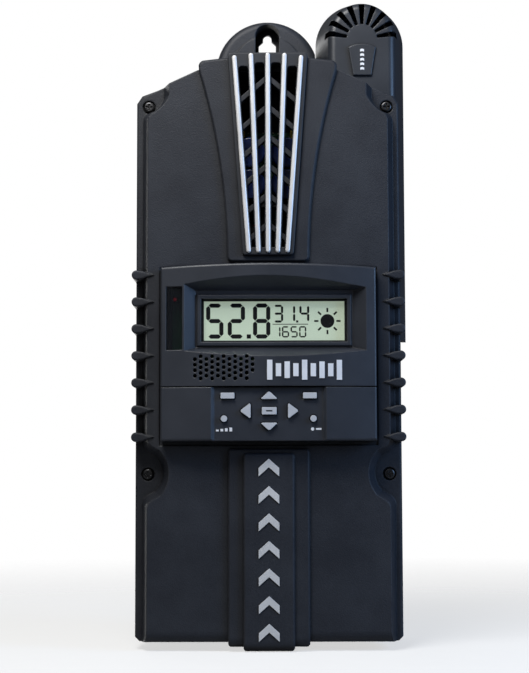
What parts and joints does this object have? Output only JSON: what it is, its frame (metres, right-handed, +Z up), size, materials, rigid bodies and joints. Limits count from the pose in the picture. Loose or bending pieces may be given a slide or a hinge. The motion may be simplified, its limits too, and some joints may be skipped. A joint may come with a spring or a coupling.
{
  "type": "charge controller",
  "caption": "Wall-hung solar charge controller: die-cast case with fins, louvred fan shroud, chevron vent grille, crowned display module and sprung keypad.",
  "frame": {"origin": "where the wall screw seats at the top of the keyhole slot, on the wall plane", "axes": "+Z up, +Y into the wall, so the front faces -Y, +X to the right seen from the front"},
  "size_m": [0.1578, 0.102, 0.381],
  "materials": {
    "powder_coat": "fine textured charcoal powder coat",
    "bright_trim": "satin bright trim",
    "bezel_plastic": "fine grained charcoal plastic",
    "key_plastic": "light grey keys",
    "zinc_steel": "zinc plated steel",
    "black_plastic": "black moulded plastic",
    "rubber": "soft silicone rubber",
    "board_green": "green solder mask",
    "copper": "enamelled copper and brass",
    "ferrite": "powder core, coated",
    "can_blue": "sleeved cans",
    "terminal_green": "terminal block plastic",
    "lcd_glass": "grey green liquid crystal panel",
    "clear_window": "clear window",
    "dark_window": "dark smoked window",
    "red_lamp": "red lamp",
    "ribbon_grey": "grey flat cable"
  },
  "bodies": {
    "case": {"band_marks": "bright_trim", "bay_fan_frame": "black_plastic", "bezel_ornament": "bright_trim", "board_screws": "zinc_steel", "board_spacers": "copper", "bulk_capacitors": "can_blue", "bus_links": "copper", "cable_jacks": "black_plastic", "control_board": "board_green", "cover_gasket": "rubber", "cover_screws": "zinc_steel", "display_back": "bezel_plastic", "display_bezel": "bezel_plastic", "display_board": "board_green", "display_ribbon": "ribbon_grey", "display_screws": "zinc_steel", "fan_shroud": "powder_coat", "film_capacitors": "can_blue", "front_cover": "powder_coat", "grille_bars": "bright_trim", "ground_lug": "copper", "ground_screws": "zinc_steel", "inductor_cores": "ferrite", "inductor_windings": "copper", "key_icons": "key_plastic", "keypad_frame": "bezel_plastic", "keypad_mat": "rubber", "knockout_plugs": "black_plastic", "lcd_panel": "lcd_glass", "lcd_window": "clear_window", "loudspeaker": "black_plastic", "power_board": "board_green", "power_terminals": "terminal_green", "power_transistors": "black_plastic", "rear_housing": "powder_coat", "shroud_back_plate": "zinc_steel", "shroud_badge": "bright_trim", "shroud_fan_frame": "black_plastic", "shroud_screws": "zinc_steel", "signal_terminals": "terminal_green", "signal_window": "dark_window", "status_lamp": "red_lamp", "terminal_screws": "copper", "transistor_clamps": "zinc_steel", "vent_grille": "powder_coat"},
    "key_down": {"key_down": "key_plastic"},
    "key_enter": {"key_enter": "key_plastic"},
    "key_left": {"key_left": "key_plastic"},
    "key_right": {"key_right": "key_plastic"},
    "key_round_left": {"key_round_left": "key_plastic"},
    "key_round_right": {"key_round_right": "key_plastic"},
    "key_soft_left": {"key_soft_left": "key_plastic"},
    "key_soft_right": {"key_soft_right": "key_plastic"},
    "key_up": {"key_up": "key_plastic"},
    "shroud_fan": {"shroud_fan_rotor": "black_plastic"},
    "bay_fan": {"bay_fan_rotor": "black_plastic"}
  },
  "joints": [
    {"name": "key_down_press", "type": "slide", "parent": "case", "child": "key_down", "axis": [0, 1, 0], "range_m": [0, 0.0008], "stiffness_N_per_m": 900},
    {"name": "key_enter_press", "type": "slide", "parent": "case", "child": "key_enter", "axis": [0, 1, 0], "range_m": [0, 0.0008], "stiffness_N_per_m": 900},
    {"name": "key_left_press", "type": "slide", "parent": "case", "child": "key_left", "axis": [0, 1, 0], "range_m": [0, 0.0008], "stiffness_N_per_m": 900},
    {"name": "key_right_press", "type": "slide", "parent": "case", "child": "key_right", "axis": [0, 1, 0], "range_m": [0, 0.0008], "stiffness_N_per_m": 900},
    {"name": "key_round_left_press", "type": "slide", "parent": "case", "child": "key_round_left", "axis": [0, 1, 0], "range_m": [0, 0.0008], "stiffness_N_per_m": 900},
    {"name": "key_round_right_press", "type": "slide", "parent": "case", "child": "key_round_right", "axis": [0, 1, 0], "range_m": [0, 0.0008], "stiffness_N_per_m": 900},
    {"name": "key_soft_left_press", "type": "slide", "parent": "case", "child": "key_soft_left", "axis": [0, 1, 0], "range_m": [0, 0.0008], "stiffness_N_per_m": 900},
    {"name": "key_soft_right_press", "type": "slide", "parent": "case", "child": "key_soft_right", "axis": [0, 1, 0], "range_m": [0, 0.0008], "stiffness_N_per_m": 900},
    {"name": "key_up_press", "type": "slide", "parent": "case", "child": "key_up", "axis": [0, 1, 0], "range_m": [0, 0.0008], "stiffness_N_per_m": 900},
    {"name": "shroud_fan_spin", "type": "hinge", "parent": "case", "child": "shroud_fan", "pos_m": [0.056, -0.0082, -0.0072], "axis": [0, 1, 0], "continuous": true},
    {"name": "bay_fan_spin", "type": "hinge", "parent": "case", "child": "bay_fan", "pos_m": [0, -0.0725, -0.134], "axis": [0, 1, 0], "continuous": true}
  ]
}
